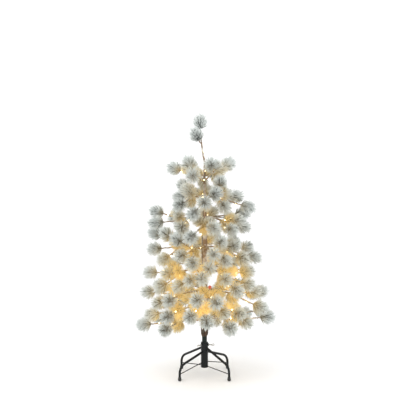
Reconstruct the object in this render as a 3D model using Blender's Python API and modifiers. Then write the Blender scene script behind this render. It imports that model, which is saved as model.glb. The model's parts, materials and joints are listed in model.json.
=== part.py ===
# Artificial tabletop tree: a snow-flocked pine on a two-section pole, in a folding four-leg stand.
# Metres, +Z up. The origin is on the floor under the pole, and -Y is the front.
import math

import bmesh
import bpy
from mathutils import Matrix, Vector

# Driving sizes
tree_height = 1.20
crown_reach = 0.32
clearance = 0.0003

# Pole and its two sections
pole_diameter = 0.023
pole_wall = 0.001
pole_fit = 0.0007
bare_pole = 0.027
joint_level = 41.0
spigot_length = 0.060
neck_level = 64.0
neck_taper = 0.012
tip_pole_radius = 0.0036
pole_top_level = 95.0

# Bark-like wrapping: how far it stands out from the pole, and its radius where the pole is thin
wrap_wall = 0.0030
wrap_foot_wall = 0.0013
wrap_bulge = 0.0060
wrap_neck_wall = 0.0018
wrap_foot_length = 0.013
wrap_tip_radius = 0.0050
wrap_thin_level = 84.0
wrap_thin_radius = 0.0062
wrap_top_level = 97.5
wrap_steps = 4
wrap_drawn_levels = (50, 58, 65.2, 72, 78, 84, 91)

# Stand
stand_tube_bottom = 0.034
stand_top = 0.150
stand_tube_wall = 0.0013
bottom_lip = 0.0035
lip_bore_radius = 0.006
ring_wall = 0.0026
collar_extra = 0.0004
end_ring_height = 0.013
collar_height = 0.0385
edge_chamfer = 0.0008
turned_sides = 16
leg_diameter = 0.011
leg_wall = 0.0013
leg_bend_radius = 0.042
leg_bend_steps = 5
foot_radius = 0.155
fixed_leg_level = 0.1245
fixed_leg_drop = 0.0628
swing_leg_level = 0.1055
swing_leg_drop = 0.043
strut_diameter = 0.004
fixed_strut_levels = (0.0420, 0.030)
swing_strut_levels = (0.0585, 0.030)
cap_wall = 0.0022
cap_height = 0.0165
cap_floor = 0.005
screw_diameter = 0.006
screw_level = 0.139
screw_length = 0.0245
screw_eye_radius = 0.0052
screw_eye_thickness = 0.0017
screw_eye_sunk = 0.0008
screw_eye_tilt = 40
screw_headings = (345, 105, 225)
nut_width = 0.0105
nut_height = 0.0045
nut_sunk = 0.0012

# The foot cap's outer side, as shares of its radius and its height
cap_outline = [(0.60, 0.0), (0.90, 0.10), (1.0, 0.34), (0.96, 0.58), (0.83, 0.82), (0.79, 1.0)]

# Marker on the section joint
tag_radius = 0.0085
tag_thickness = 0.0015
tag_strap_wall = 0.0014
tag_sunk = 0.0008
tag_strap_height = 0.004
tag_level = 40.2
tag_heading = 0

# Branches
stem_diameter = 0.0070
thin_stem_diameter = 0.0050
twig_diameter = 0.0048
tuft_length = 0.072
tuft_width = 0.061
stub_length = 0.010
root_stagger = 0.9
fork_share = 0.50
stem_bow = 0.012
knee_share = 0.45
knee_spread = 0.10
twig_sunk = 0.0012
sprig_size = 0.86
sprig_reach = 0.040

# Light string
wire_diameter = 0.0018
bulb_length = 0.012
bulb_diameter = 0.0052
bulb_lean = (0.8, 0.6)
wire_gap = 0.0004

# How far a cutter runs past what it cuts
cut_past = 0.004
hub_cut_height = 0.040

# The crown is drawn for a tree of these sizes, in centimetres, and stretched to the driving sizes
drawn_unit = 0.01
drawn_base = 17.7
drawn_top = 120.0
drawn_reach = 32.0

# Each tier: its root level, then each branch's side and the centres of its needle tufts, in centimetres
tiers = [
    (89, [
        ("left", [(-14, 0, 95), (-7, -5, 97), (-5, -11, 91)]),
        ("right", [(11, 2, 97), (3, -8, 96)]),
        ("back", [(-6, 11, 96), (5, 12, 93)]),
    ]),
    (81, [
        ("left", [(-10, 4, 87), (-7, -6, 85), (-11, -12, 78)]),
        ("right", [(15, 3, 82), (20, 0, 77), (9, -10, 77), (7, -10, 88)]),
        ("front", [(5, -14, 83), (0, -17, 79), (-5, -18, 74)]),
        ("back", [(-12, 14, 82), (0, 17, 85), (11, 15, 81)]),
    ]),
    (71.5, [
        ("left", [(-22, 0, 75), (-22, -5, 70), (-10, -14, 68)]),
        ("right", [(15, -8, 71), (18, -1, 68), (12, -14, 67)]),
        ("front", [(4, -19, 68), (-6, -21, 64)]),
        ("back", [(-14, 13, 72), (-5, 20, 74), (3, 19, 69), (12, 17, 72), (18, 8, 74)]),
    ]),
    (58, [
        ("left", [(-23, 1, 65), (-17, -10, 65), (-23, -2, 58), (-18, -11, 54)]),
        ("front_left", [(-12, -18, 63), (-10, -20, 56), (-5, -24, 53)]),
        ("front_right", [(7, -20, 62), (4, -23, 57), (9, -20, 54)]),
        ("right", [(13, -13, 60), (17, -10, 54), (23, 0, 54), (20, 8, 58)]),
        ("back", [(-12, 18, 62), (-4, 23, 58), (5, 21, 63), (14, 17, 60)]),
    ]),
    (49, [
        ("left", [(-25, 0, 47), (-16, -14, 48), (-19, -15, 42)]),
        ("front", [(-11, -20, 43), (-6, -24, 46), (2, -24, 51), (-1, -26, 47)]),
        ("right", [(9, -21, 46), (14, -20, 41), (19, -13, 43), (19, -8, 48)]),
        ("back", [(-15, 14, 50), (-6, 22, 51), (4, 25, 48), (14, 18, 50), (20, 10, 47)]),
    ]),
    (38.5, [
        ("left", [(-26, 0, 38), (-20, -14, 35), (-15, -21, 37)]),
        ("front", [(-3, -27, 38), (5, -27, 37), (8, -22, 32)]),
        ("right", [(26, 1, 38), (22, -7, 39), (25, -7, 32)]),
        ("back_left", [(-21, 11, 40), (-13, 20, 38), (-4, 26, 40)]),
        ("back_right", [(7, 25, 37), (16, 20, 39), (23, 12, 36)]),
    ]),
    (32, [
        ("left", [(-24, -2, 28), (-16, -21, 30)]),
        ("front", [(-6, -27, 31), (-3, -18, 33), (1, -28, 29)]),
        ("right", [(15, -19, 31), (18, -16, 27)]),
        ("back", [(-19, 17, 31), (-10, 25, 31), (2, 28, 31)]),
    ]),
    (25, [
        ("left", [(-28, 0, 23), (-17, -18, 24), (-22, 13, 24)]),
        ("right", [(29, 0, 26.5), (11, -23, 25.5)]),
        ("back", [(-12, 24, 23), (10, 27, 24), (20, 20, 25), (27, 10, 28)]),
    ]),
]
thin_stems_above = 75

# Short sprigs that fill out each branch, as the share of the way along the stem, then the turn away from the
# branch's own heading and the lift above level, in degrees. Crowded branches go without some of them.
sprigs = [(1.0, -50, 40), (1.0, 50, 20), (0.7, 10, -50)]
missing_sprigs = {
    "branch_1_left": (3,),
    "branch_2_front": (1, 2),
    "branch_3_right": (1,),
    "branch_4_front_left": (2,),
    "branch_4_front_right": (1,),
    "branch_6_left": (3,),
    "branch_6_front": (3,),
    "branch_7_right": (3,),
    "branch_8_right": (1,),
}
leader_tufts = [(-2, 0, 116.4), (-3.8, -3, 110.2)]
leader_route = [(0, 0, 97.8), (0, 0, 98.4), (-0.7, 0, 101), (-1.3, 0, 106), (-1.9, 0, 112)]

# Where each section's light wire runs up the trunk, as heading and drawn level, and its lit bulbs' levels
lower_wire = [(250, 19.5), (238, 25), (246, 29), (237, 33), (243, 38.8)]
upper_wire = [
    (250, 42.5), (234, 49.5), (221, 58), (226, 64), (234, 72), (238, 81), (264, 89), (285, 93), (270, 97),
]

black_paint = (0.020, 0.022, 0.021)
green_black_paint = (0.016, 0.024, 0.020)
bark = (0.23, 0.145, 0.085)
flock = (0.62, 0.65, 0.62)
zinc = (0.62, 0.62, 0.60)
cap_black = (0.025, 0.025, 0.026)
warm_light = (1.0, 0.70, 0.30)
tag_red = (0.72, 0.20, 0.15)


def clear_scene():
    for obj in list(bpy.data.objects):
        bpy.data.objects.remove(obj, do_unlink=True)


def new_collection(name):
    collection = bpy.data.collections.new(name)
    bpy.context.scene.collection.children.link(collection)
    return collection


def new_material(name, colour, roughness, metallic=0.0):
    material = bpy.data.materials.new(name)
    material.use_nodes = True
    shader = material.node_tree.nodes["Principled BSDF"]
    shader.inputs["Base Color"].default_value = (*colour, 1.0)
    shader.inputs["Roughness"].default_value = roughness
    shader.inputs["Metallic"].default_value = metallic
    material.diffuse_color = (*colour, 1.0)
    return material


clear_scene()
parts = new_collection("tabletop_tree")
cutters = new_collection("cutters")
cutters.hide_render = True

pole_radius = pole_diameter / 2
pole_bore = pole_radius - pole_wall
tube_bore = pole_radius + pole_fit
tube_radius = tube_bore + stand_tube_wall
ring_bore = tube_radius + clearance
ring_radius = ring_bore + ring_wall
collar_radius = ring_radius + collar_extra
crown_base = stand_top + bare_pole
drawn_span = drawn_top - drawn_base
crown_scale = crown_reach / drawn_reach
level_scale = (tree_height - crown_base) / drawn_span
tuft_trim = min(1.0, crown_scale / drawn_unit, level_scale / drawn_unit)


def level(drawn):
    # Height of a level drawn in centimetres, on a tree of the driving height
    return crown_base + (drawn - drawn_base) * level_scale


def crown_point(drawn):
    x, y, z = drawn
    return Vector((x * crown_scale, y * crown_scale, level(z)))


def around(heading, radius, z):
    angle = math.radians(heading)
    return Vector((radius * math.cos(angle), radius * math.sin(angle), z))


def place(obj, collection=parts, material=None):
    for owner in list(obj.users_collection):
        owner.objects.unlink(obj)
    collection.objects.link(obj)
    if material:
        obj.data.materials.clear()
        obj.data.materials.append(material)
    if collection is cutters:
        obj.display_type = "WIRE"
        obj.hide_render = True
        obj.hide_set(True)
    return obj


def smooth(obj):
    for face in obj.data.polygons:
        face.use_smooth = True
    return obj


def mesh_object(name, mesh_builder, collection, material=None):
    mesh = bpy.data.meshes.new(name)
    shape = bmesh.new()
    mesh_builder(shape)
    shape.to_mesh(mesh)
    shape.free()
    return place(bpy.data.objects.new(name, mesh), collection, material)


def turned(name, outline, material, sides=turned_sides):
    # An outline of (radius, height) points, going up its outer side, spun round the upright axis
    def outline_edges(shape):
        corners = [shape.verts.new((radius, 0, z)) for radius, z in reversed(outline)]
        for first, second in zip(corners, corners[1:]):
            shape.edges.new((first, second))
        if outline[0][0] > 0:
            shape.edges.new((corners[-1], corners[0]))

    obj = mesh_object(name, outline_edges, parts, material)
    spin = obj.modifiers.new("Spin", "SCREW")
    spin.axis = "Z"
    spin.angle = math.tau
    spin.steps = sides
    spin.render_steps = sides
    spin.use_merge_vertices = True
    spin.merge_threshold = 0.00001
    spin.use_smooth_shade = True
    return obj


def rod(name, points, radius, resolution, collection, material=None):
    # A round rod along a route, made a mesh so that it can be joined or cut
    curve = bpy.data.curves.new(name, "CURVE")
    curve.dimensions = "3D"
    curve.fill_mode = "FULL"
    curve.bevel_depth = radius
    curve.bevel_resolution = resolution
    curve.use_fill_caps = True
    spline = curve.splines.new("POLY")
    spline.points.add(len(points) - 1)
    for corner, point in zip(spline.points, points):
        corner.co = (*point, 1.0)
    guide = bpy.data.objects.new(name + "_route", curve)
    bpy.context.scene.collection.objects.link(guide)
    graph = bpy.context.evaluated_depsgraph_get()
    mesh = bpy.data.meshes.new_from_object(guide.evaluated_get(graph))
    bpy.data.objects.remove(guide, do_unlink=True)
    shape = bmesh.new()
    shape.from_mesh(mesh)
    bmesh.ops.remove_doubles(shape, verts=shape.verts, dist=0.000001)
    bmesh.ops.recalc_face_normals(shape, faces=shape.faces)
    shape.to_mesh(mesh)
    shape.free()
    mesh.name = name
    return smooth(place(bpy.data.objects.new(name, mesh), collection, material))


def cylinder(name, radius, start, end, sides, collection, material=None):
    start, end = Vector(start), Vector(end)
    turn = (end - start).to_track_quat("Z", "Y").to_matrix().to_4x4()

    def build(shape):
        bmesh.ops.create_cone(
            shape, cap_ends=True, segments=sides, radius1=radius, radius2=radius,
            depth=(end - start).length, matrix=Matrix.Translation((start + end) / 2) @ turn,
        )

    return smooth(mesh_object(name, build, collection, material))


def boolean(obj, other, operation):
    modifier = obj.modifiers.new(operation.title() + " " + other.name, "BOOLEAN")
    modifier.operation = operation
    modifier.solver = "MANIFOLD"
    modifier.object = other
    return obj


def joined(obj, others):
    # Others are hidden helpers: the union is written into the object's own mesh
    for other in others:
        boolean(obj, other, "UNION")
    graph = bpy.context.evaluated_depsgraph_get()
    mesh = bpy.data.meshes.new_from_object(obj.evaluated_get(graph))
    obj.modifiers.clear()
    obj.data = mesh
    for other in others:
        bpy.data.objects.remove(other, do_unlink=True)
    return smooth(obj)


def ring_outline(bore, radius, bottom, top):
    cut = edge_chamfer
    return [
        (bore, bottom), (radius - cut, bottom), (radius, bottom + cut),
        (radius, top - cut), (radius - cut, top), (bore, top),
    ]


# Stand

def stand_tube():
    outline = [
        (lip_bore_radius, stand_tube_bottom),
        (tube_radius, stand_tube_bottom),
        (tube_radius, stand_top),
        (tube_bore, stand_top),
        (tube_bore, stand_tube_bottom + bottom_lip),
        (lip_bore_radius, stand_tube_bottom + bottom_lip),
    ]
    return turned("stand_tube", outline, paint)


def stand_rings():
    end_top = stand_tube_bottom + end_ring_height
    collar_bottom = stand_top - collar_height
    end = ring_outline(ring_bore, ring_radius, stand_tube_bottom, end_top)
    turned("end_ring", end, paint)
    sleeve = ring_outline(ring_bore, ring_radius, end_top + clearance, collar_bottom - clearance)
    turned("rotating_sleeve", sleeve, paint)
    collar = turned("upper_collar", ring_outline(ring_bore, collar_radius, collar_bottom, stand_top), paint)
    return joined(collar, [welded_nut(number, heading) for number, heading in enumerate(screw_headings, 1)])


def welded_nut(number, heading):
    # A six-sided nut on the collar, which the thumb screw turns in
    nut_radius = nut_width / 2 / math.cos(math.pi / 6)
    start = around(heading, collar_radius - nut_sunk, screw_level)
    end = around(heading, collar_radius - nut_sunk + nut_height, screw_level)
    return cylinder(f"nut_{number}", nut_radius, start, end, 6, cutters)


def drill_screw_holes(*drilled):
    for number, heading in enumerate(screw_headings, 1):
        start = around(heading, tube_bore - cut_past, screw_level)
        end = around(heading, collar_radius + nut_height + cut_past, screw_level)
        radius = screw_diameter / 2 + clearance
        hole = cylinder(f"screw_hole_{number}", radius, start, end, 12, cutters)
        for obj in drilled:
            boolean(obj, hole, "DIFFERENCE")


def thumb_screw(number, heading):
    # A round shank, with an eye at its outer end for the fingers
    start = around(heading, pole_radius + clearance, screw_level)
    end = around(heading, pole_radius + clearance + screw_length, screw_level)
    screw = cylinder(f"thumb_screw_{number}", screw_diameter / 2, start, end, 12, parts, screw_zinc)
    bpy.ops.mesh.primitive_torus_add(
        major_radius=screw_eye_radius, minor_radius=screw_eye_thickness,
        major_segments=14, minor_segments=6,
        location=around(heading, end.xy.length + screw_eye_radius - screw_eye_sunk, screw_level),
        rotation=Matrix.Rotation(math.radians(screw_eye_tilt), 3, around(heading, 1, 0)).to_euler(),
    )
    eye = bpy.context.object
    bpy.ops.object.transform_apply(location=True, rotation=True, scale=True)
    eye.name = f"screw_eye_{number}"
    return joined(screw, [eye])


def leg_route(start_level, drop):
    # From the hub outwards and down, round one bend, then upright to the foot cap: (radius, height) points
    corner = Vector((foot_radius, start_level - drop))
    start = Vector((ring_bore, start_level))
    along = (corner - start).normalized()
    slope = math.atan2(-along.y, along.x)
    turn = math.pi / 2 - slope
    tangent = leg_bend_radius * math.tan(turn / 2)
    bend_start = corner - along * tangent
    centre = bend_start + Vector((-math.sin(slope), -math.cos(slope))) * leg_bend_radius
    route = [start]
    for step in range(leg_bend_steps + 1):
        angle = math.pi / 2 - slope - turn * step / leg_bend_steps
        route.append(centre + Vector((math.cos(angle), math.sin(angle))) * leg_bend_radius)
    route.append(Vector((foot_radius, cap_floor + clearance)))
    return route


def leg(name, heading, start_level, drop, hub_radius):
    route = leg_route(start_level, drop)
    points = [around(heading, *point) for point in route]
    tube = rod(name, points, leg_diameter / 2, 3, parts, paint)
    bore_points = points[:-1] + [around(heading, foot_radius, cap_floor - cut_past)]
    bore = rod(name + "_bore", bore_points, leg_diameter / 2 - leg_wall, 1, cutters)
    boolean(tube, bore, "DIFFERENCE")
    boolean(tube, hub_cutter(name, hub_radius, start_level), "DIFFERENCE")
    return tube


def hub_cutter(name, hub_radius, mid_level):
    # What it cuts ends just clear of the round hub
    sides = 32
    radius = (hub_radius + clearance) / math.cos(math.pi / sides)
    bottom = (0, 0, mid_level - hub_cut_height / 2)
    top = (0, 0, mid_level + hub_cut_height / 2)
    return cylinder(name + "_hub", radius, bottom, top, sides, cutters)


def strut(name, heading, levels, hub_radius):
    slope_room = strut_diameter / 2 * abs(levels[0] - levels[1]) / foot_radius
    start = around(heading, ring_bore, levels[0])
    end = around(heading, foot_radius - leg_diameter / 2 - clearance - slope_room, levels[1])
    bar = cylinder(name, strut_diameter / 2, start, end, 10, parts, paint)
    return boolean(bar, hub_cutter(name, hub_radius, levels[0]), "DIFFERENCE")


def foot_cap(name, heading):
    hole = leg_diameter / 2 + clearance
    wide = hole + cap_wall
    outline = [(0, 0)]
    outline += [(max(wide * share, hole + clearance), cap_height * rise) for share, rise in cap_outline]
    outline += [(hole, cap_height), (hole, cap_floor), (0, cap_floor)]
    cap = turned(name, outline, cap_plastic)
    cap.location = around(heading, foot_radius, 0)
    return cap


def stand():
    tube = stand_tube()
    collar = stand_rings()
    drill_screw_holes(tube, collar)
    for number, heading in enumerate(screw_headings, 1):
        thumb_screw(number, heading)
    fixed = (("back_left", 135), ("front_right", 315))
    swinging = (("front_left", 225), ("back_right", 45))
    for side, heading in fixed:
        leg("leg_" + side, heading, fixed_leg_level, fixed_leg_drop, collar_radius)
        strut("strut_" + side, heading, fixed_strut_levels, ring_radius)
    for side, heading in swinging:
        leg("leg_" + side, heading, swing_leg_level, swing_leg_drop, ring_radius)
        strut("strut_" + side, heading, swing_strut_levels, ring_radius)
    for side, heading in fixed + swinging:
        foot_cap("foot_cap_" + side, heading)


# Pole and wrapping

def pole_sections():
    joint = level(joint_level)
    bottom = stand_tube_bottom + bottom_lip + clearance
    neck = level(neck_level)
    top = level(pole_top_level)
    spigot = pole_bore - clearance
    lower = [(pole_bore, bottom), (pole_radius, bottom), (pole_radius, joint), (pole_bore, joint)]
    turned("lower_pole", lower, pole_paint)
    shoulder = joint + clearance
    upper = [
        (0, neck - neck_taper),
        (spigot - pole_wall, neck - neck_taper),
        (spigot - pole_wall, joint - spigot_length),
        (spigot, joint - spigot_length),
        (spigot, shoulder),
        (pole_radius, shoulder),
        (pole_radius, neck),
        (tip_pole_radius, neck + neck_taper),
        (tip_pole_radius, top),
        (0, top),
    ]
    turned("upper_pole", upper, pole_paint)


def wrap_radius(z):
    # Outer radius of the wrapping at a height, in metres
    main = pole_radius + wrap_wall
    foot = pole_radius + wrap_bulge
    profile = [
        (crown_base, pole_radius + wrap_foot_wall),
        (crown_base + wrap_foot_length, foot),
        (level(joint_level), main),
        (level(neck_level) + neck_taper, pole_radius + wrap_neck_wall),
        (level(wrap_thin_level), wrap_thin_radius),
        (level(wrap_top_level), wrap_tip_radius),
    ]
    for (low, first), (high, second) in zip(profile, profile[1:]):
        if z <= high:
            return first + (second - first) * max(0.0, (z - low) / (high - low))
    return profile[-1][1]


def lower_wrapping():
    foot_top = crown_base + wrap_foot_length
    joint = level(joint_level)
    bore = pole_radius + clearance
    heights = [crown_base]
    heights += [foot_top + (joint - foot_top) * step / wrap_steps for step in range(wrap_steps + 1)]
    outline = [(bore, crown_base)]
    outline += [(wrap_radius(z), z) for z in heights]
    outline += [(bore, joint)]
    return turned("lower_trunk_wrap", outline, wrap_bark)


def upper_wrapping():
    # Open at the bottom, where the pole comes out, and closed over the pole's tip
    bottom = level(joint_level) + 2 * clearance
    neck = level(neck_level) + clearance
    thin_from = neck + neck_taper
    closed_from = level(pole_top_level) + clearance
    top = level(wrap_top_level)
    bore = pole_radius + clearance
    thin_bore = tip_pole_radius + clearance
    outline = [(0, closed_from), (thin_bore, closed_from), (thin_bore, thin_from)]
    outline += [(bore, neck), (bore, bottom)]
    heights = [bottom] + [level(drawn) for drawn in wrap_drawn_levels] + [top]
    outline += [(wrap_radius(z), z) for z in sorted(heights)]
    outline += [(0, top)]
    return turned("upper_trunk_wrap", outline, wrap_bark)


def colour_tag():
    z = level(tag_level)
    bore = wrap_radius(z - tag_strap_height) + 2 * clearance
    radius = bore + tag_strap_wall
    outline = [
        (bore, z - tag_strap_height / 2), (radius, z - tag_strap_height / 2),
        (radius, z + tag_strap_height / 2), (bore, z + tag_strap_height / 2),
    ]
    tag = turned("colour_tag", outline, tag_plastic)
    outward = around(tag_heading, 1, 0)
    centre = outward * (radius + tag_radius - tag_sunk)
    centre.z = z
    facing = Vector((0, -tag_thickness / 2, 0))
    disc = cylinder("tag_disc", tag_radius, centre - facing, centre + facing, 16, cutters)
    return joined(tag, [disc])


# Branches

def tuft(name, centre, direction, share=1.0):
    # An egg shape that holds one brush of needles, a full one or a share of it
    turn = direction.to_track_quat("Z", "Y").to_matrix().to_4x4()
    half_width = share * tuft_width * tuft_trim / 2
    half_length = share * tuft_length * tuft_trim / 2
    size = Matrix.Diagonal((half_width, half_width, half_length, 1))
    placed = Matrix.Translation(centre) @ turn @ size

    def build(shape):
        bmesh.ops.create_uvsphere(shape, u_segments=6, v_segments=4, radius=1.0, matrix=placed)

    return mesh_object(name, build, cutters)


def branch_root(tier_level, number, centres):
    # The root sits on the wrapping, on the side that the tufts are on
    outward = sum((Vector((centre.x, centre.y, 0)) for centre in centres), Vector()).normalized()
    z = level(tier_level + root_stagger * (number % 2))
    return outward * (wrap_radius(z - stem_diameter) + clearance) + Vector((0, 0, z)), outward


def sprig(name, stem_points, outward, share, turn, lift):
    # A short twig and a small tuft, off the outer two lengths of a stem
    start, bow, fork = stem_points
    foot = start.lerp(bow, 2 * share) if share < 0.5 else bow.lerp(fork, 2 * share - 1)
    level_way = Matrix.Rotation(math.radians(turn), 3, "Z") @ outward
    direction = level_way * math.cos(math.radians(lift))
    direction.z = math.sin(math.radians(lift))
    centre = foot + direction * sprig_reach * tuft_trim
    twig = rod(name + "_twig", [foot - direction * twig_sunk, centre], twig_diameter / 2, 0, cutters)
    return [twig, tuft(name + "_tuft", centre, direction, sprig_size)]


def branch(name, tier_level, number, drawn_tufts):
    # A bowed stem from the trunk to a fork, a bent twig to each tuft, and short sprigs along the stem
    centres = [crown_point(drawn) for drawn in drawn_tufts]
    root, outward = branch_root(tier_level, number, centres)
    mean = sum(centres, Vector()) / len(centres)
    start = root + outward * stub_length
    fork = start.lerp(mean, fork_share)
    bow = start.lerp(fork, 0.5) + Vector((0, 0, stem_bow))
    thickness = thin_stem_diameter if tier_level > thin_stems_above else stem_diameter
    stem = rod(name, [root, start, bow, fork], thickness / 2, 1, parts, flock_needles)
    pieces = []
    for count, centre in enumerate(centres, 1):
        knee = fork.lerp(centre, knee_share) + (centre - mean) * knee_spread
        twig_start = fork - (knee - fork).normalized() * twig_sunk
        twig_route = [twig_start, knee, centre]
        pieces.append(rod(f"{name}_twig_{count}", twig_route, twig_diameter / 2, 0, cutters))
        pieces.append(tuft(f"{name}_tuft_{count}", centre, (centre - knee).normalized()))
    for count, (share, turn, lift) in enumerate(sprigs, 1):
        if count not in missing_sprigs.get(name, ()):
            pieces += sprig(f"{name}_sprig_{count}", [start, bow, fork], outward, share, turn, lift)
    return joined(stem, pieces)


def leader():
    points = [crown_point(drawn) for drawn in leader_route]
    points[0].z = level(wrap_top_level) + clearance
    centres = [crown_point(drawn) for drawn in leader_tufts]
    obj = rod("leader", points + [centres[0]], stem_diameter / 2, 1, parts, flock_needles)
    side_twig = rod("leader_twig", [points[-2], centres[1]], twig_diameter / 2, 0, cutters)
    top = tuft("leader_top_tuft", centres[0], centres[0] - points[-1])
    side = tuft("leader_side_tuft", centres[1], centres[1] - points[-2])
    return joined(obj, [side_twig, top, side])


def light_string(name, run):
    # A wire up the trunk, just clear of the wrapping, with a bulb standing off it at each inner point
    room = wire_diameter / 2 + clearance + wire_gap
    bulb_out, bulb_up = bulb_lean
    points = []
    for heading, drawn in run:
        z = level(drawn)
        points.append(around(heading, wrap_radius(z) + room, z))
    wire = rod(name, points, wire_diameter / 2, 0, parts, light_wire)
    bulbs = []
    for count, (heading, drawn) in enumerate(run[1:-1], 1):
        foot = points[count]
        tip = foot + around(heading, bulb_length * bulb_out, bulb_length * bulb_up)
        bulbs.append(cylinder(f"{name}_bulb_{count}", bulb_diameter / 2, foot, tip, 6, cutters))
    return joined(wire, bulbs)


paint = new_material("stand paint", black_paint, 0.38, 0.0)
pole_paint = new_material("pole paint", green_black_paint, 0.42, 0.0)
cap_plastic = new_material("foot cap plastic", cap_black, 0.55)
screw_zinc = new_material("screw zinc", zinc, 0.32, 1.0)
wrap_bark = new_material("bark wrapping", bark, 0.9)
tag_plastic = new_material("tag plastic", tag_red, 0.5)
flock_needles = new_material("flocked needles", flock, 0.95)
light_wire = new_material("light string", warm_light, 0.35)

stand()
pole_sections()
lower_wrapping()
upper_wrapping()
colour_tag()
leader()
for tier_number, (tier_level, branches) in enumerate(tiers, 1):
    for number, (side, drawn_tufts) in enumerate(branches):
        branch(f"branch_{tier_number}_{side}", tier_level, number, drawn_tufts)
light_string("light_string_lower", lower_wire)
light_string("light_string_upper", upper_wire)
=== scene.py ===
import json
import math
import random

import bpy
import numpy as np
from mathutils import Matrix, Vector


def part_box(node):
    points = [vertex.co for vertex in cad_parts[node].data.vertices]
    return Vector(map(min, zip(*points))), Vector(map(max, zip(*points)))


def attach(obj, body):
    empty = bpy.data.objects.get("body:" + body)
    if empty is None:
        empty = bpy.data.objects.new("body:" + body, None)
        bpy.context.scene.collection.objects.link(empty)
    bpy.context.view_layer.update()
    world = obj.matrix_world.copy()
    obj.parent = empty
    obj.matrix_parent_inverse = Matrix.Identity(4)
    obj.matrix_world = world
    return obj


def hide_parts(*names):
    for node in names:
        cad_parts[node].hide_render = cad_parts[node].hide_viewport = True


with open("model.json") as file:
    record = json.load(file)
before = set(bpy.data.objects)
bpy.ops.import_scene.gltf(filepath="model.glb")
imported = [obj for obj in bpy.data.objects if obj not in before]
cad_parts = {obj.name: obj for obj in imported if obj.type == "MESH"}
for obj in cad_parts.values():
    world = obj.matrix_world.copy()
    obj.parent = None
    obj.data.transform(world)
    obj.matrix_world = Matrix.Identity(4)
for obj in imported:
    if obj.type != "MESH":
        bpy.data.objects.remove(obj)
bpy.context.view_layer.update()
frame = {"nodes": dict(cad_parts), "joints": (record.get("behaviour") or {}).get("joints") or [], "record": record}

scene = bpy.context.scene
print("frame loaded, nodes:", len(frame["nodes"]))


# small helpers

def deselectAll():
    if bpy.context.object and bpy.context.object.mode != "OBJECT":
        bpy.ops.object.mode_set(mode="OBJECT")
    bpy.ops.object.select_all(action="DESELECT")


def pick(*objects):
    deselectAll()
    for obj in objects:
        obj.select_set(True)
    bpy.context.view_layer.objects.active = objects[0]


def applyPlace(obj):
    pick(obj)
    bpy.ops.object.transform_apply(location=True, rotation=True, scale=True)


def joinAll(name, objects):
    pick(*objects)
    if len(objects) > 1:
        bpy.ops.object.join()
    joined = bpy.context.object
    joined.name = name
    joined.data.name = name
    applyPlace(joined)
    return joined


def copyOf(obj, matrix):
    twin = obj.copy()
    twin.data = obj.data.copy()
    scene.collection.objects.link(twin)
    twin.matrix_world = matrix
    return twin


def aimed(direction, roll=0.0):
    # a turn that takes +Z to the direction, rolled about it first
    return direction.to_track_quat("Z", "Y").to_matrix().to_4x4() @ Matrix.Rotation(roll, 4, "Z")


def smoothShade(obj, angle=None):
    pick(obj)
    if angle is None:
        bpy.ops.object.shade_smooth()
    else:
        bpy.ops.object.shade_smooth_by_angle(angle=math.radians(angle))


def setAttribute(obj, name, values):
    # one value for the whole mesh, or one per vertex
    count = len(obj.data.vertices)
    layer = obj.data.attributes.new(name, "FLOAT", "POINT")
    if np.isscalar(values):
        values = np.full(count, values, dtype=np.float32)
    layer.data.foreach_set("value", values)


def finishPiece(obj, material, body, replaced=()):
    obj.data.materials.clear()
    obj.data.materials.append(material)
    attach(obj, body)
    if replaced:
        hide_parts(*replaced)
    return obj


# shader helpers

class Wire:
    # a node's output, so that plain Python sums add the Math nodes
    def __init__(self, board, socket):
        self.board = board
        self.socket = socket

    def sum(self, operation, *others, clamp=False):
        settings = {"operation": operation, "use_clamp": clamp}
        return self.board.node("ShaderNodeMath", settings, [self, *others])

    def __add__(self, other):
        return self.sum("ADD", other)

    def __radd__(self, other):
        return self.sum("ADD", other)

    def __sub__(self, other):
        return self.sum("SUBTRACT", other)

    def __rsub__(self, other):
        return self.board.node("ShaderNodeMath", {"operation": "SUBTRACT"}, [other, self])

    def __mul__(self, other):
        return self.sum("MULTIPLY", other)

    def __truediv__(self, other):
        return self.sum("DIVIDE", other)

    def clamped(self):
        return self.sum("ADD", 0.0, clamp=True)

    def between(self, low, high):
        # 0 below low, 1 above high, smooth in between
        settings = {"interpolation_type": "SMOOTHSTEP"}
        sockets = {"Value": self, "From Min": low, "From Max": high}
        return self.board.node("ShaderNodeMapRange", settings, sockets)


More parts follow.
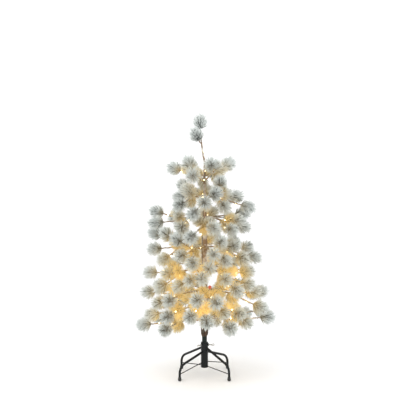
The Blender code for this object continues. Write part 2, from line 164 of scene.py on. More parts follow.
class Board:
    # one material's nodes
    def __init__(self, name):
        self.material = bpy.data.materials.new(name)
        self.material.use_nodes = True
        self.tree = self.material.node_tree
        self.shader = self.tree.nodes["Principled BSDF"]

    def connect(self, value, socket):
        if isinstance(value, Wire):
            self.tree.links.new(value.socket, socket)
        elif value is not None:
            socket.default_value = value

    def node(self, kind, settings=None, sockets=None, output=0):
        made = self.tree.nodes.new(kind)
        for key, value in (settings or {}).items():
            if key == "stops":
                self.setStops(made, value)
            else:
                setattr(made, key, value)
        items = enumerate(sockets) if isinstance(sockets, (list, tuple)) else (sockets or {}).items()
        for key, value in items:
            self.connect(value, made.inputs[key])
        return Wire(self, made.outputs[output])

    def setStops(self, made, stops):
        ramp = made.color_ramp
        while len(ramp.elements) < len(stops):
            ramp.elements.new(0.5)
        for element, (place, colour) in zip(ramp.elements, stops):
            element.position = place
            element.color = (*colour, 1.0)

    def place(self, which="Object"):
        return self.node("ShaderNodeTexCoord", output=which)

    def stretched(self, scale, which="Object"):
        return self.node("ShaderNodeMapping", None, {"Vector": self.place(which), "Scale": scale})

    def noise(self, scale, detail=3.0, vector=None, roughness=0.55):
        sockets = {"Vector": vector or self.place(), "Scale": scale, "Detail": detail, "Roughness": roughness}
        return self.node("ShaderNodeTexNoise", None, sockets)

    def attribute(self, name):
        return self.node("ShaderNodeAttribute", {"attribute_name": name}, output="Fac")

    def mix(self, share, first, second):
        first = (*first, 1.0) if isinstance(first, tuple) else first
        second = (*second, 1.0) if isinstance(second, tuple) else second
        return self.node("ShaderNodeMix", {"data_type": "RGBA"}, {0: share, 6: first, 7: second}, output=2)

    def tinted(self, colour, tint):
        settings = {"data_type": "RGBA", "blend_type": "MULTIPLY"}
        return self.node("ShaderNodeMix", settings, {0: 1.0, 6: colour, 7: tint}, output=2)

    def distance(self, place, centre):
        return self.node("ShaderNodeVectorMath", {"operation": "DISTANCE"}, [place, centre], output="Value")

    def split(self, vector, axis):
        return self.node("ShaderNodeSeparateXYZ", None, [vector], output=axis)

    def facingUp(self):
        return self.split(self.node("ShaderNodeNewGeometry", output="Normal"), "Z")

    def bump(self, height, strength, distance):
        sockets = {"Height": height, "Strength": strength, "Distance": distance}
        return self.node("ShaderNodeBump", None, sockets)

    def finish(self, colour, roughness, normal=None, **fixed):
        if isinstance(colour, tuple):
            colour = (*colour, 1.0)
        self.connect(colour, self.shader.inputs["Base Color"])
        self.connect(roughness, self.shader.inputs["Roughness"])
        self.connect(normal, self.shader.inputs["Normal"])
        for key, value in fixed.items():
            self.connect(value, self.shader.inputs[key])
        return self.material


flockLook = {
    "core": (0.085, 0.110, 0.080),
    "snow": (0.90, 0.93, 0.91),
    "shade": (0.62, 0.67, 0.64),
    # painted bulb light: the glow's colour, and the tint it lays on needles, stems and bark
    "warm": (1.0, 0.66, 0.22),
    "lit": (1.0, 0.81, 0.44),
    "glowStrength": 0.50,
    # where a needle's tip sits on its own map, and how far from it the root is
    "sideCentre": (0.25, 0.25, 0.0),
    "sideReach": 0.24,
}
stemLook = {
    # the tape's darker colour is darker grain, and painted shade in the grooves between the tape's turns
    "tape": (0.30, 0.20, 0.12), "darkGrainAndGrooveShade": (0.10, 0.065, 0.04),
    "snow": (0.80, 0.79, 0.76), "shade": (0.55, 0.56, 0.54), "wraps": 34.0,
}
barkLook = {
    "ridge": (0.48, 0.33, 0.22), "crack": (0.16, 0.100, 0.062), "snow": (0.80, 0.74, 0.67),
    "rust": (0.52, 0.36, 0.22), "footRidge": (0.13, 0.075, 0.045), "footCrack": (0.03, 0.018, 0.012),
    "footTop": 0.225,
}
paintLook = {"black": (0.007, 0.0085, 0.0095), "dust": (0.030, 0.032, 0.033), "pole": (0.008, 0.015, 0.013)}
zincLook = {"bright": (0.72, 0.72, 0.70), "dull": (0.50, 0.49, 0.45)}
capLook = {"black": (0.018, 0.018, 0.018), "rubbed": (0.045, 0.045, 0.044)}
tagLook = {"red": (0.82, 0.16, 0.09), "faded": (0.88, 0.34, 0.24), "discEdge": (0.0088, 0.0096)}
lightLook = {
    "lens": (1.0, 0.86, 0.60), "core": (1.0, 0.90, 0.70), "glow": (1.0, 0.80, 0.44), "strength": 5.0,
    "wire": (0.24, 0.25, 0.20),
}


def warmGlow(board, colour):
    # painted light from the nearest bulbs: a warm glow and a lit tint, kept on the piece as an attribute
    glow = board.attribute("glow")
    emission = board.mix((glow - 0.05).clamped(), (0.0, 0.0, 0.0), flockLook["warm"])
    board.connect(emission, board.shader.inputs["Emission Color"])
    board.connect(flockLook["glowStrength"], board.shader.inputs["Emission Strength"])
    tint = board.mix(glow.between(0.04, 0.60), (1.0, 1.0, 1.0), flockLook["lit"])
    return board.tinted(colour, tint)


def needleMaterial():
    board = Board("flockedNeedles")
    away = board.distance(board.place("UV"), flockLook["sideCentre"])
    along = 1.0 - away / flockLook["sideReach"]
    grain = board.noise(230.0, 3.0)
    tone = board.attribute("tone")
    cover = along * 0.9 + (grain - 0.5) * 0.6 + (tone - 0.5) * 1.1 + board.facingUp() * 0.08
    snowy = cover.between(0.10, 0.42)
    snow = board.mix(board.noise(700.0, 2.0).between(0.35, 0.65), flockLook["shade"], flockLook["snow"])
    colour = board.mix(snowy, flockLook["core"], snow)
    fuzz = board.noise(1500.0, 2.0)
    colour = warmGlow(board, colour)
    normal = board.bump(fuzz, 0.6, 0.0006)
    sheen = {"Sheen Weight": 0.25, "Sheen Roughness": 0.6, "Specular IOR Level": 0.15}
    return board.finish(colour, 0.93 - grain * 0.1, normal, **sheen)


def stemMaterial():
    board = Board("tapedStem")
    around = board.place("UV")
    length = board.split(around, "X")
    turn = board.split(around, "Y")
    wrap = board.node("ShaderNodeMath", {"operation": "FRACT"}, [length * stemLook["wraps"] + turn])
    ridge = wrap.between(0.0, 0.25) * (1.0 - wrap.between(0.75, 1.0))
    grain = board.noise(420.0, 4.0)
    # painted shade: the tape darkens into the grooves between its turns, and also where its grain is darker
    tape = board.mix(ridge * 0.7 + grain * 0.4, stemLook["darkGrainAndGrooveShade"], stemLook["tape"])
    snowy = (board.noise(70.0, 4.0) + board.facingUp() * 0.20 + (grain - 0.5) * 0.3).between(0.50, 0.68)
    snow = board.mix(board.noise(900.0, 2.0), stemLook["shade"], stemLook["snow"])
    colour = warmGlow(board, board.mix(snowy, tape, snow))
    height = ridge * 0.5 + grain * 0.5 + snowy * 0.6
    return board.finish(colour, 0.78 + snowy * 0.17, board.bump(height, 0.7, 0.0008))


def barkMaterial():
    board = Board("barkWrap")
    fibres = board.noise(90.0, 6.0, board.stretched((1.0, 1.0, 0.16)), 0.65)
    fine = board.noise(480.0, 4.0, board.stretched((1.0, 1.0, 0.35)))
    ridge = (fibres * 0.7 + fine * 0.3).between(0.38, 0.62)
    bark = board.mix(ridge, barkLook["crack"], barkLook["ridge"])
    hue = board.noise(16.0, 2.0)
    bark = board.mix(hue.between(0.45, 0.75) * 0.6, bark, barkLook["rust"])
    height = board.split(board.place(), "Z") + (hue - 0.5) * 0.03
    foot = 1.0 - height.between(barkLook["footTop"] - 0.02, barkLook["footTop"] + 0.02)
    bark = board.mix(foot, bark, board.mix(ridge, barkLook["footCrack"], barkLook["footRidge"]))
    cover = board.noise(46.0, 5.0) + board.noise(7.0, 2.0) * 0.35 + fine * 0.15 - foot * 0.12
    snowy = cover.between(0.72, 0.88)
    colour = warmGlow(board, board.mix(snowy, bark, barkLook["snow"]))
    height = ridge * 0.8 + fine * 0.4 + snowy * 0.4
    return board.finish(colour, 0.82 + snowy * 0.12, board.bump(height, 0.85, 0.0015))


def paintMaterial(name, paint):
    board = Board(name)
    peel = board.noise(520.0, 2.0)
    dust = (board.noise(38.0, 5.0) + board.facingUp() * 0.10).between(0.58, 0.86)
    colour = board.mix(dust * 0.22, paint, paintLook["dust"])
    scuff = board.noise(150.0, 6.0, board.stretched((1.0, 1.0, 0.3)))
    roughness = 0.34 + dust * 0.22 + scuff.between(0.62, 0.72) * 0.15
    return board.finish(colour, roughness, board.bump(peel, 0.18, 0.0004), **{"Specular IOR Level": 0.22})


def capMaterial():
    board = Board("moulded cap")
    grain = board.noise(900.0, 2.0)
    rub = board.noise(60.0, 5.0).between(0.5, 0.75)
    colour = board.mix(rub, capLook["black"], capLook["rubbed"])
    return board.finish(colour, 0.52 + rub * 0.2, board.bump(grain, 0.35, 0.0003))


def zincMaterial():
    board = Board("zinc plate")
    streak = board.noise(260.0, 5.0, board.stretched((1.0, 1.0, 0.25)))
    colour = board.mix(streak.between(0.35, 0.7), zincLook["dull"], zincLook["bright"])
    return board.finish(colour, 0.24 + streak * 0.22, board.bump(streak, 0.2, 0.0002), Metallic=1.0)


def tagCentre():
    low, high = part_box("colour_tag")
    return (high.x - (high.z - low.z) / 2, 0.0, (low.z + high.z) / 2)


def tagMaterial():
    board = Board("red tag")
    strap = board.distance(board.place(), tagCentre()).between(*tagLook["discEdge"])
    grain = board.noise(600.0, 3.0)
    colour = board.mix(grain.between(0.45, 0.8) * 0.5, tagLook["red"], tagLook["faded"])
    colour = board.mix(strap, colour, stemLook["tape"])
    return board.finish(colour, 0.42 + grain * 0.12, board.bump(grain, 0.25, 0.0003))


def lensMaterial():
    board = Board("lit lens")
    core = board.noise(300.0, 2.0)
    colour = board.mix(core, lightLook["lens"], lightLook["core"])
    board.connect((*lightLook["glow"], 1.0), board.shader.inputs["Emission Color"])
    board.connect(lightLook["strength"], board.shader.inputs["Emission Strength"])
    return board.finish(colour, 0.18 + core * 0.05)


def plasticMaterial(name, colour):
    board = Board(name)
    grain = board.noise(800.0, 2.0)
    tint = board.mix(grain, tuple(part * 0.75 for part in colour), colour)
    return board.finish(tint, 0.38 + grain * 0.12, board.bump(grain, 0.2, 0.0002))


needles = needleMaterial()
tapedStem = stemMaterial()
barkWrap = barkMaterial()
blackPaint = paintMaterial("black paint", paintLook["black"])
polePaint = paintMaterial("pole paint", paintLook["pole"])
capPlastic = capMaterial()
zincPlate = zincMaterial()
redTag = tagMaterial()
litLens = lensMaterial()
lampWire = plasticMaterial("lamp wire", lightLook["wire"])
print("materials made")

cadFinishes = {
    "stand_paint": blackPaint,
    "pole_paint": polePaint,
    "foot_cap_plastic": capPlastic,
    "screw_zinc": zincPlate,
    "tag_plastic": redTag,
}
slotOf = {entry["node"]: entry["material_slot"] for entry in frame["record"]["subparts"]}
for nodeName, nodeObject in frame["nodes"].items():
    if slotOf[nodeName] in cadFinishes:
        for index in range(len(nodeObject.material_slots)):
            nodeObject.material_slots[index].material = cadFinishes[slotOf[nodeName]]


# round wires, stems and trunk wraps, each a path with a radius at every point

def wireAlong(name, points, radii, rings=6, smoothPath=True, resolution=5):
    deselectAll()
    bpy.ops.curve.primitive_nurbs_path_add()
    wire = bpy.context.object
    wire.name = name
    curve = wire.data
    curve.splines.clear()
    spline = curve.splines.new("NURBS" if smoothPath else "POLY")
    spline.points.add(len(points) - 1)
    for corner, point, radius in zip(spline.points, points, radii):
        corner.co = (*point, 1.0)
        corner.radius = radius
    if smoothPath:
        spline.use_endpoint_u = True
        spline.order_u = min(4, len(points))
        spline.resolution_u = resolution
    curve.bevel_depth = 1.0
    curve.bevel_resolution = rings
    curve.use_fill_caps = True
    pick(wire)
    bpy.ops.object.convert(target="MESH")
    wire = bpy.context.object
    bpy.ops.object.mode_set(mode="EDIT")
    bpy.ops.mesh.select_all(action="SELECT")
    bpy.ops.mesh.remove_doubles(threshold=0.000001)
    bpy.ops.object.mode_set(mode="OBJECT")
    smoothShade(wire, 50)
    return wire


def roughen(piece, label, depth, size, stretch=1.0):
    # uneven surface from a cloud texture, stretched along Z
    texture = bpy.data.textures.new(label, "CLOUDS")
    texture.noise_scale = size
    texture.noise_depth = 4
    guide = bpy.data.objects.new(label + "_guide", None)
    scene.collection.objects.link(guide)
    guide.scale = (1, 1, stretch)
    pick(piece)
    push = piece.modifiers.new(label, "DISPLACE")
    push.texture = texture
    push.texture_coords = "OBJECT"
    push.texture_coords_object = guide
    push.strength = depth * 2
    push.mid_level = 0.5
    bpy.context.view_layer.update()
    bpy.ops.object.modifier_apply(modifier=push.name)
    bpy.data.objects.remove(guide)


# needles and tufts

needleSize = {
    "length": 0.042, "root": 0.00060,
    "rings": [(0.62, 0.00140), (0.88, 0.00119)],  # share of the length, and the radius there
    "curl": 0.0032, "curls": (0.4, 1.0, -0.6),
}
tuftShape = {
    "needles": 210,
    "variants": 5,
    "halfWidth": 0.0345,
    "halfLength": 0.0405,
    "rootLow": -0.036,
    "rootHigh": -0.006,
    "openAngle": 125.0,  # how far round from its tip the brush is filled
    "ragged": 0.11,
    "astray": 0.0030,
}
rng = random.Random(12)


def makeNeedle(name, curl):
    deselectAll()
    length = needleSize["length"]
    bpy.ops.mesh.primitive_cone_add(
        vertices=3, radius1=needleSize["root"], radius2=0.0, depth=length, location=(0, 0, length / 2))
    needle = bpy.context.object
    needle.name = name
    bpy.ops.object.transform_apply(location=True, rotation=True, scale=True)
    for share, radius in needleSize["rings"]:
        bpy.ops.object.mode_set(mode="EDIT")
        bpy.ops.mesh.select_all(action="SELECT")
        bpy.ops.mesh.bisect(plane_co=(0, 0, length * share), plane_no=(0, 0, 1))
        bpy.ops.mesh.select_all(action="DESELECT")
        bpy.ops.object.mode_set(mode="OBJECT")
        ring = [v for v in needle.data.vertices if abs(v.co.z - length * share) < 0.0005]
        wide = sum(v.co.xy.length for v in ring) / len(ring)
        for vertex in ring:
            vertex.select = True
        bpy.ops.object.mode_set(mode="EDIT")
        grow = radius / wide
        bpy.ops.transform.resize(value=(grow, grow, 1.0))
        bend = curl * share * share
        bpy.ops.transform.translate(value=(bend, 0, 0))
    bpy.ops.mesh.select_all(action="DESELECT")
    bpy.ops.object.mode_set(mode="OBJECT")
    for vertex in needle.data.vertices:
        vertex.select = vertex.co.z > length * 0.95
    bpy.ops.object.mode_set(mode="EDIT")
    bpy.ops.transform.translate(value=(curl, 0, 0))
    bpy.ops.object.mode_set(mode="OBJECT")
    smoothShade(needle)
    return needle


def makeTuft(name, needleKinds):
    # each needle runs from a short length of twig out to the rounded outline of the brush
    golden = math.pi * (3 - math.sqrt(5))
    shape = tuftShape
    lowest = math.cos(math.radians(shape["openAngle"]))
    copies = []
    for number in range(shape["needles"]):
        share = (number + 0.5) / shape["needles"]
        lift = 1 - (1 - lowest) * share
        across = shape["halfWidth"] * math.sqrt(1 - lift * lift)
        heading = number * golden
        reach = 1 + rng.uniform(-1, 1) * shape["ragged"]
        astray = Vector([rng.gauss(0, shape["astray"]) for _ in range(3)])
        tip = Vector((across * math.cos(heading), across * math.sin(heading), shape["halfLength"] * lift))
        root = Vector((0, 0, shape["rootHigh"] + (shape["rootLow"] - shape["rootHigh"]) * share))
        run = tip * reach + astray - root
        turned = aimed(run.normalized(), rng.uniform(0, math.tau))
        place = Matrix.Translation(root) @ turned @ Matrix.Scale(run.length / needleSize["length"], 4)
        needle = copyOf(rng.choice(needleKinds), place)
        setAttribute(needle, "tone", rng.random())
        copies.append(needle)
    return joinAll(name, copies)


needleKinds = []
for number, share in enumerate(needleSize["curls"]):
    needleKinds.append(makeNeedle(f"needle{number}", needleSize["curl"] * share))
tuftKinds = [makeTuft(f"tuft{n}", needleKinds) for n in range(tuftShape["variants"])]
print("tufts made:", len(tuftKinds), "faces each:", len(tuftKinds[0].data.polygons))

# lamps

lampSize = {
    "lensRadius": 0.0030, "lensLength": 0.0085, "socketRadius": 0.0032, "socketLength": 0.0075,
    "lightAt": 0.004,  # past the socket
}


def makeLens():
    deselectAll()
    radius, length = lampSize["lensRadius"], lampSize["lensLength"]
    bpy.ops.mesh.primitive_uv_sphere_add(segments=10, ring_count=7, radius=radius, location=(0, 0, 0))
    lens = bpy.context.object
    bpy.ops.object.mode_set(mode="EDIT")
    bpy.ops.mesh.select_mode(type="VERT")
    bpy.ops.object.mode_set(mode="OBJECT")
    for vertex in lens.data.vertices:
        vertex.select = vertex.co.z > radius * 0.1
    bpy.ops.object.mode_set(mode="EDIT")
    bpy.ops.transform.translate(value=(0, 0, length - 2 * radius))
    bpy.ops.object.mode_set(mode="OBJECT")
    bpy.ops.transform.translate(value=(0, 0, lampSize["socketLength"]))
    applyPlace(lens)
    smoothShade(lens)
    lens.name = "lensKind"
    return lens


def makeSocket():
    deselectAll()
    radius, length = lampSize["socketRadius"], lampSize["socketLength"]
    bpy.ops.mesh.primitive_cylinder_add(vertices=10, radius=radius, depth=length, location=(0, 0, length / 2))
    socket = bpy.context.object
    socket.name = "socketKind"
    bpy.ops.object.mode_set(mode="EDIT")
    bpy.ops.mesh.select_all(action="DESELECT")
    bpy.ops.mesh.select_mode(type="FACE")
    bpy.ops.object.mode_set(mode="OBJECT")
    for face in socket.data.polygons:
        face.select = face.normal.z > 0.9
    bpy.ops.object.mode_set(mode="EDIT")
    bpy.ops.mesh.inset(thickness=radius * 0.18)
    bpy.ops.transform.translate(value=(0, 0, -length * 0.12))
    bpy.ops.mesh.select_all(action="DESELECT")
    bpy.ops.object.mode_set(mode="OBJECT")
    for face in socket.data.polygons:
        face.select = face.normal.z < -0.9
    bpy.ops.object.mode_set(mode="EDIT")
    bpy.ops.transform.resize(value=(0.62, 0.62, 1))
    bpy.ops.object.mode_set(mode="OBJECT")
    applyPlace(socket)
    smoothShade(socket, 40)
    return socket


lensKind = makeLens()
socketKind = makeSocket()

# crown layout, in centimetres: each tier's branches, from the top, with their tuft centres

crown = [
    {"left": [(-14, 0, 95), (-7, -5, 97), (-5, -11, 91)], "right": [(11, 2, 97), (3, -8, 96)],
     "back": [(-6, 11, 96), (5, 12, 93)]},
    {"left": [(-10, 4, 87), (-7, -6, 85), (-11, -12, 78)],
     "right": [(15, 3, 82), (20, 0, 77), (9, -10, 77), (7, -10, 88)],
     "front": [(5, -14, 83), (0, -17, 79), (-5, -18, 74)],
     "back": [(-12, 14, 82), (0, 17, 85), (11, 15, 81)]},
    {"left": [(-22, 0, 75), (-22, -5, 70), (-10, -14, 68)],
     "right": [(15, -8, 71), (18, -1, 68), (12, -14, 67)],
     "front": [(4, -19, 68), (-6, -21, 64)],
     "back": [(-14, 13, 72), (-5, 20, 74), (3, 19, 69), (12, 17, 72), (18, 8, 74)]},
    {"left": [(-23, 1, 65), (-17, -10, 65), (-23, -2, 58), (-18, -11, 54)],
     "front_left": [(-12, -18, 63), (-10, -20, 56), (-5, -24, 53)],
     "front_right": [(7, -20, 62), (4, -23, 57), (9, -20, 54)],
     "right": [(13, -13, 60), (17, -10, 54), (23, 0, 54), (20, 8, 58)],
     "back": [(-12, 18, 62), (-4, 23, 58), (5, 21, 63), (14, 17, 60)]},
    {"left": [(-25, 0, 47), (-16, -14, 48), (-19, -15, 42)],
     "front": [(-11, -20, 43), (-6, -24, 46), (2, -24, 51), (-1, -26, 47)],
     "right": [(9, -21, 46), (14, -20, 41), (19, -13, 43), (19, -8, 48)],
     "back": [(-15, 14, 50), (-6, 22, 51), (4, 25, 48), (14, 18, 50), (20, 10, 47)]},
    {"left": [(-26, 0, 38), (-20, -14, 35), (-15, -21, 37)],
     "front": [(-3, -27, 38), (5, -27, 37), (8, -22, 32)],
     "right": [(26, 1, 38), (22, -7, 39), (25, -7, 32)],
     "back_left": [(-21, 11, 40), (-13, 20, 38), (-4, 26, 40)],
     "back_right": [(7, 25, 37), (16, 20, 39), (23, 12, 36)]},
    {"left": [(-24, -2, 28), (-16, -21, 30)], "front": [(-6, -27, 31), (-3, -18, 33), (1, -28, 29)],
     "right": [(15, -19, 31), (18, -16, 27)], "back": [(-19, 17, 31), (-10, 25, 31), (2, 28, 31)]},
    {"left": [(-28, 0, 23), (-17, -18, 24), (-22, 13, 24)], "right": [(29, 0, 26.5), (11, -23, 25.5)],
     "back": [(-12, 24, 23), (10, 27, 24), (20, 20, 25), (27, 10, 28)]},
]
branchShape = {
    "stub": 0.010, "sunk": 0.002, "forkShare": 0.50, "bow": 0.012, "kneeShare": 0.45, "kneeSpread": 0.10,
    "twigPast": 0.006, "wireShort": 0.036,  # a twig's end and its wire's end, from the tuft's centre
    "stemRadius": 0.0040, "thinRadius": 0.0031, "twigRadius": 0.0029, "thinTiers": 2,
    "sprigs": [(1.0, -50, 40), (1.0, 50, 20), (0.7, 10, -50)], "sprigReach": 0.040, "sprigSize": 0.86,
    "missing": {"branch_1_left": (3,), "branch_2_front": (1, 2), "branch_3_right": (1,),
                "branch_4_front_left": (2,), "branch_4_front_right": (1,), "branch_6_left": (3,),
                "branch_6_front": (3,), "branch_7_right": (3,), "branch_8_right": (1,)},
    "knobs": 0.0013, "knobSize": 0.007,
    "wireRadius": 0.00065, "wireOff": 0.0013, "wireTurn": 0.030, "lampOff": 0.0005,
    "sparseTiers": 4,  # the upper tiers, with a lamp at every second twig
}
hinges = {joint["child"]: joint for joint in frame["joints"]}


def inMetres(point):
    return Vector(point) * 0.01


def pointsBetween(points, spacing):
    # evenly spaced points and directions along a straight-sided path
    found = []
    for first, second in zip(points, points[1:]):
        steps = max(1, round((second - first).length / spacing))
        for step in range(steps):
            found.append((first.lerp(second, step / steps), (second - first).normalized()))
    found.append((points[-1], (points[-1] - points[-2]).normalized()))
    return found


def woundWire(name, points, stemRadius):
    # light wire wound round a stem
    off = stemRadius + branchShape["wireOff"]
    turned = 0.0
    route = []
    last = points[0]
    for place, direction in pointsBetween(points, branchShape["wireTurn"] / 7):
        turned += (place - last).length / branchShape["wireTurn"] * math.tau
        last = place
        route.append(place + aimed(direction, turned) @ Vector((off, 0, 0)))
    return wireAlong(name, route, [branchShape["wireRadius"]] * len(route), rings=1)


# reach and strength of the painted bulb light on each kind of piece, and the levels where it weakens
glowShape = {"reach": 0.028, "fall": 1.6, "needles": 1.0, "stems": 0.6, "bark": 0.20,
             "low": 0.45, "high": 0.75, "highPower": 0.40}


def paintGlow(piece, lamps, power):
    # every lamp's painted light, fading with distance and weaker up the tree
    coords = np.empty(len(piece.data.vertices) * 3)
    piece.data.vertices.foreach_get("co", coords)
    coords = coords.reshape(-1, 3)
    glow = np.zeros(len(coords))
    for lamp in lamps:
        climb = min(1.0, max(0.0, (lamp.z - glowShape["low"]) / (glowShape["high"] - glowShape["low"])))
        away = np.linalg.norm(coords - np.array(lamp), axis=1) / glowShape["reach"]
        glow += power * (1 - climb * (1 - glowShape["highPower"])) / (1 + away * away) ** glowShape["fall"]
    setAttribute(piece, "glow", glow.astype(np.float32))


lampSpots = []


def lampAt(foot, lean):
    # a lens and a socket standing off a stem; the place the light comes from is noted
    place = Matrix.Translation(foot) @ aimed(lean.normalized())
    lampSpots.append(place @ Vector((0, 0, lampSize["socketLength"] + lampSize["lightAt"])))
    return copyOf(lensKind, place), copyOf(socketKind, place)


def tuftAt(centre, direction, size):
    place = Matrix.Translation(centre) @ aimed(direction, rng.uniform(0, math.tau))
    return copyOf(rng.choice(tuftKinds), place @ Matrix.Scale(size * rng.uniform(0.96, 1.05), 4))


def growBranch(tierNumber, side, drawnTufts):
    node = f"branch_{tierNumber}_{side}"
    shape = branchShape
    hinge = hinges[node]
    root = Vector(hinge["pos_m"])
    turnAxis = Vector(hinge["axis"])
    outward = Vector((-turnAxis.y, turnAxis.x, 0.0))
    centres = [inMetres(point) for point in drawnTufts]
    mean = sum(centres, Vector()) / len(centres)
    start = root + outward * shape["stub"]
    fork = start.lerp(mean, shape["forkShare"])
    bow = start.lerp(fork, 0.5) + Vector((0, 0, shape["bow"]))
    stemRadius = shape["thinRadius"] if tierNumber <= shape["thinTiers"] else shape["stemRadius"]
    twigRadius = shape["twigRadius"]
    stemPoints = [root - outward * shape["sunk"], start, bow, fork]
    stemRadii = [stemRadius * part for part in (1.1, 1.0, 1.0, 0.9)]
    stems = [wireAlong(node + "_stem", stemPoints, stemRadii, 3, resolution=14)]
    wires = [woundWire(node + "_wire", [start, bow, fork], stemRadius)]
    tufts, lampFeet = [], [(fork, (fork - bow).normalized(), stemRadius)]
    for number, centre in enumerate(centres):
        knee = fork.lerp(centre, shape["kneeShare"]) + (centre - mean) * shape["kneeSpread"]
        direction = (centre - knee).normalized()
        radii = [twigRadius * part for part in (1.2, 1.0, 0.6)]
        twigPoints = [fork, knee, centre + direction * shape["twigPast"]]
        stems.append(wireAlong(f"{node}_twig{number}", twigPoints, radii, 2, resolution=14))
        wirePoints = [fork, knee, centre - direction * shape["wireShort"]]
        wires.append(woundWire(f"{node}_twigWire{number}", wirePoints, twigRadius))
        tufts.append(tuftAt(centre, direction, 1.0))
        if tierNumber > shape["sparseTiers"] or (number + tierNumber) % 2:
            lampFeet.append((knee, direction, twigRadius))
    for number, (share, turn, lift) in enumerate(shape["sprigs"], 1):
        if number in shape["missing"].get(node, ()):
            continue
        foot = bow.lerp(fork, 2 * share - 1)
        direction = Matrix.Rotation(math.radians(turn), 3, "Z") @ outward * math.cos(math.radians(lift))
        direction.z = math.sin(math.radians(lift))
        centre = foot + direction * shape["sprigReach"]
        radii = [twigRadius, twigRadius * 0.5]
        stems.append(wireAlong(f"{node}_sprig{number}", [foot, centre], radii, 2, smoothPath=False))
        tufts.append(tuftAt(centre, direction, shape["sprigSize"]))
    lenses = []
    for spot, direction, radius in lampFeet:
        lean = aimed(direction, rng.uniform(0, math.tau)) @ Vector((1, 0, 0.5))
        lens, socket = lampAt(spot + lean.normalized() * (radius + shape["lampOff"]), lean)
        wires.append(socket)
        lenses.append(lens)
    needlePiece = joinAll(node + "_needles", tufts)
    stemPiece = joinAll(node + "_stems", stems)
    wirePiece = joinAll(node + "_wires", wires)
    lensPiece = joinAll(node + "_lenses", lenses)
    roughen(stemPiece, node + "_knobs", shape["knobs"], shape["knobSize"])
    finishPiece(needlePiece, needles, node, [node])
    finishPiece(stemPiece, tapedStem, node)
    finishPiece(wirePiece, lampWire, node)
    finishPiece(lensPiece, litLens, node)
    return needlePiece, stemPiece


tufted = []
for tierNumber, tier in enumerate(crown, 1):
    for side, drawnTufts in tier.items():
        tufted.append(growBranch(tierNumber, side, drawnTufts))
    print("tier", tierNumber, "grown")

# leader

leaderShape = {
    "route": [(0, 0, 97.8), (0, 0, 98.4), (-0.7, 0, 101), (-1.3, 0, 106), (-1.9, 0, 112), (-2, 0, 117)],
    "radii": [0.0040, 0.0040, 0.0038, 0.0034, 0.0030, 0.0016],
    "tufts": [((-2, 0, 116.4), (-1.9, 0, 112)), ((-3.8, -3, 110.2), (-1.9, 0, 106.5))],
    "twigRadii": [0.0026, 0.0024, 0.0014], "tuftTurn": 1.3,
    "lamp": (-0.4, -0.5, 102), "lampLean": (0.3, -1, 0.5),
}


def growLeader():
    shape = leaderShape
    route = [inMetres(point) for point in shape["route"]]
    stems = [wireAlong("leader_stem", route, shape["radii"], 3, resolution=12)]
    tufts = []
    for number, (centre, foot) in enumerate(shape["tufts"]):
        centre, foot = inMetres(centre), inMetres(foot)
        direction = (centre - foot).normalized()
        twigPoints = [foot, foot.lerp(centre, 0.5), centre]
        stems.append(wireAlong(f"leader_twig{number}", twigPoints, shape["twigRadii"], 2, resolution=12))
        place = Matrix.Translation(centre) @ aimed(direction, number * shape["tuftTurn"])
        tufts.append(copyOf(tuftKinds[number], place))
    lens, socket = lampAt(inMetres(shape["lamp"]), Vector(shape["lampLean"]))
    finishPiece(joinAll("leader_lens", [lens]), litLens, "tree_upper")
    finishPiece(joinAll("leader_socket", [socket]), lampWire, "tree_upper")
    needlePiece = joinAll("leader_needles", tufts)
    finishPiece(needlePiece, needles, "tree_upper", ["leader"])
    stemPiece = joinAll("leader_stems", stems)
    roughen(stemPiece, "leader_knobs", branchShape["knobs"], branchShape["knobSize"])
    finishPiece(stemPiece, tapedStem, "tree_upper")
    return needlePiece, stemPiece


tufted.append(growLeader())

# trunk wraps: rough bark round the pole

barkShape = {
    # level and radius in centimetres
    "lower": [(17.7, 1.28), (19.0, 1.75), (40.9, 1.45)],
    "upper": [(41.1, 1.45), (65.2, 1.33), (84, 0.62), (97.5, 0.50)],
    "ringSpacing": 0.0016, "inset": 0.35,
    "fibres": {"depth": 0.0018, "size": 0.006, "stretch": 4.0},
    "lumps": {"depth": 0.0012, "size": 0.018, "stretch": 1.5},
}


def radiusAt(outline, level):
    for (low, first), (high, second) in zip(outline, outline[1:]):
        if level <= high:
            return (first + (second - first) * max(0.0, (level - low) / (high - low))) * 0.01
    return outline[-1][1] * 0.01


def wrapTrunk(name, outline, body, replaced):
    bottom, top = outline[0][0] * 0.01, outline[-1][0] * 0.01
    steps = round((top - bottom) / barkShape["ringSpacing"])
    heights = [bottom + (top - bottom) * step / steps for step in range(steps + 1)]
    points = [Vector((0, 0, z)) for z in heights]
    inset = barkShape["fibres"]["depth"] * barkShape["inset"]
    radii = [radiusAt(outline, z * 100) - inset for z in heights]
    wrap = wireAlong(name, points, radii, rings=14, smoothPath=False)
    for label in ("fibres", "lumps"):
        rough = barkShape[label]
        roughen(wrap, name + label, rough["depth"], rough["size"], rough["stretch"])
    smoothShade(wrap)
    return finishPiece(wrap, barkWrap, body, [replaced])


trunkWraps = [
    wrapTrunk("lower_bark", barkShape["lower"], "tree_lower", "lower_trunk_wrap"),
    wrapTrunk("upper_bark", barkShape["upper"], "tree_upper", "upper_trunk_wrap"),
]
print("trunk wrapped")

# light string up the trunk

stringShape = {
    # heading in degrees and level in centimetres
    "lower": [(250, 19.5), (238, 25), (246, 29), (237, 33), (243, 38.8)],
    "upper": [(250, 42.5), (234, 49.5), (221, 58), (226, 64), (234, 72), (238, 81), (264, 89), (285, 93),
              (270, 97)],
    "off": 0.0012, "wireRadius": 0.0008, "lampRise": 0.7,
}


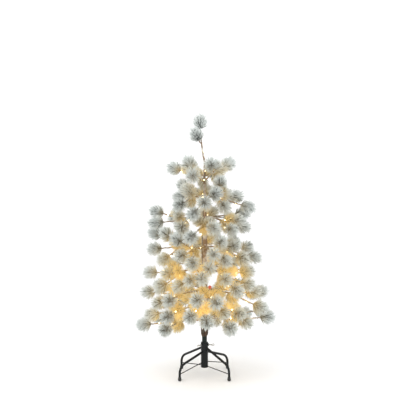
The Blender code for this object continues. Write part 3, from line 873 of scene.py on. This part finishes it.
def runString(name, outline, run, body, replaced):
    points = []
    for heading, drawn in run:
        radius = radiusAt(outline, drawn) + stringShape["off"]
        angle = math.radians(heading)
        points.append(Vector((radius * math.cos(angle), radius * math.sin(angle), drawn * 0.01)))
    radii = [stringShape["wireRadius"]] * len(points)
    wires = [wireAlong(name + "_wire", points, radii, 2, smoothPath=False)]
    lenses = []
    for point in points[1:-1]:
        lean = Vector((point.x, point.y, point.xy.length * stringShape["lampRise"]))
        lens, socket = lampAt(point, lean)
        wires.append(socket)
        lenses.append(lens)
    finishPiece(joinAll(name + "_wires", wires), lampWire, body, [replaced])
    finishPiece(joinAll(name + "_lenses", lenses), litLens, body)


runString("string_lower", barkShape["lower"], stringShape["lower"], "tree_lower", "light_string_lower")
runString("string_upper", barkShape["upper"], stringShape["upper"], "tree_upper", "light_string_upper")

# painted bulb light on the needles, stems and bark
for needlePiece, stemPiece in tufted:
    paintGlow(needlePiece, lampSpots, glowShape["needles"])
    paintGlow(stemPiece, lampSpots, glowShape["stems"])
for bark in trunkWraps:
    paintGlow(bark, lampSpots, glowShape["bark"])
for kind in needleKinds + tuftKinds + [lensKind, socketKind]:
    bpy.data.objects.remove(kind, do_unlink=True)
print("lamps:", len(lampSpots))

# floor, lights and camera

studio = {
    "cameraPlace": (0.007, -3.0, 0.776), "fieldOfView": 35.1, "world": 1.15, "floor": (0.93, 0.93, 0.93),
    "key": {"place": (-1.6, -2.2, 2.6), "size": 1.8, "power": 26.0},
    "fill": {"place": (2.2, -1.8, 1.8), "size": 2.0, "power": 10.0},
    "aim": (0, 0, 0.6),
}


def setStudio():
    deselectAll()
    bpy.ops.mesh.primitive_plane_add(size=14, location=(0, 0, -0.0005))
    floor = bpy.context.object
    floor.name = "floor"
    paper = Board("pale floor")
    speck = paper.noise(30.0, 2.0)
    colour = paper.mix(speck, studio["floor"], tuple(part * 0.99 for part in studio["floor"]))
    floor.data.materials.append(paper.finish(colour, 0.9))
    world = bpy.data.worlds.new("studio")
    world.use_nodes = True
    world.node_tree.nodes["Background"].inputs["Color"].default_value = (1, 1, 1, 1)
    world.node_tree.nodes["Background"].inputs["Strength"].default_value = studio["world"]
    scene.world = world
    for name in ("key", "fill"):
        lamp = bpy.data.lights.new(name, "AREA")
        lamp.size = studio[name]["size"]
        lamp.energy = studio[name]["power"]
        holder = bpy.data.objects.new(name, lamp)
        holder.location = studio[name]["place"]
        aim = Vector(studio["aim"]) - holder.location
        holder.rotation_euler = aim.to_track_quat("-Z", "Y").to_euler()
        scene.collection.objects.link(holder)
    camera = bpy.data.cameras.new("camera")
    camera.sensor_width = 36.0
    camera.lens = camera.sensor_width / 2 / math.tan(math.radians(studio["fieldOfView"]) / 2)
    holder = bpy.data.objects.new("camera", camera)
    holder.location = studio["cameraPlace"]
    holder.rotation_euler = (math.pi / 2, 0, 0)
    scene.collection.objects.link(holder)
    scene.camera = holder
    scene.view_settings.view_transform = "Standard"


setStudio()
